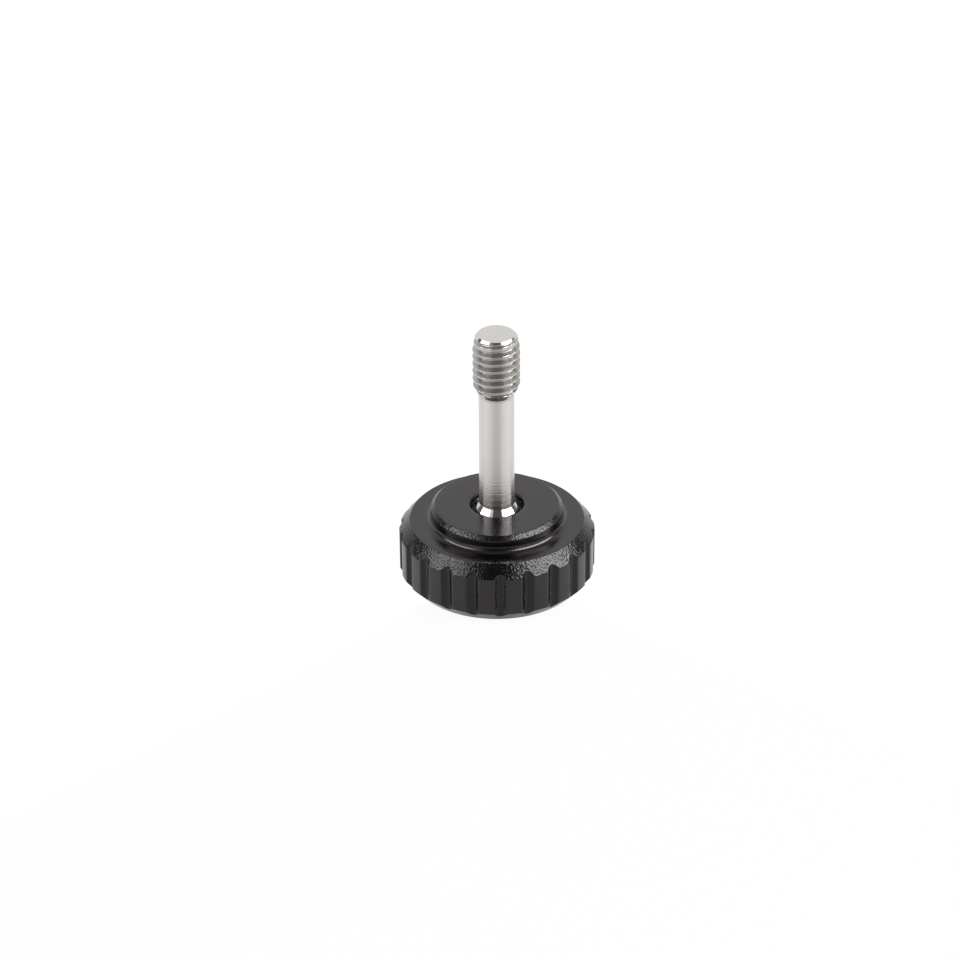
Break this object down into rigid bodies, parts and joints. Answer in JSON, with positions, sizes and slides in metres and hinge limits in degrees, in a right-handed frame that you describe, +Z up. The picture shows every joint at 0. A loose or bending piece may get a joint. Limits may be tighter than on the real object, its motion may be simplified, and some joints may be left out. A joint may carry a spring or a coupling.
{
  "type": "thumb screw",
  "caption": "Captive thumb screw: a stainless stud with a thin plain shank and a threaded end, fixed in a black fluted knob with a stepped clamping boss.",
  "frame": {"origin": "centre of the knob's flat underside, on which the screw stands", "axes": "+Z up the screw's axis towards the thread's tip; a flute of the rim faces -Y"},
  "size_m": [0.025, 0.025, 0.0349],
  "materials": {
    "black_aluminium": "black anodised: turned faces and lands satin, chamfers and flutes finely blasted",
    "stainless_steel": "fine-turned stainless steel, collar polished"
  },
  "bodies": {
    "root": {"knob": "black_aluminium", "stud": "stainless_steel"}
  },
  "joints": []
}
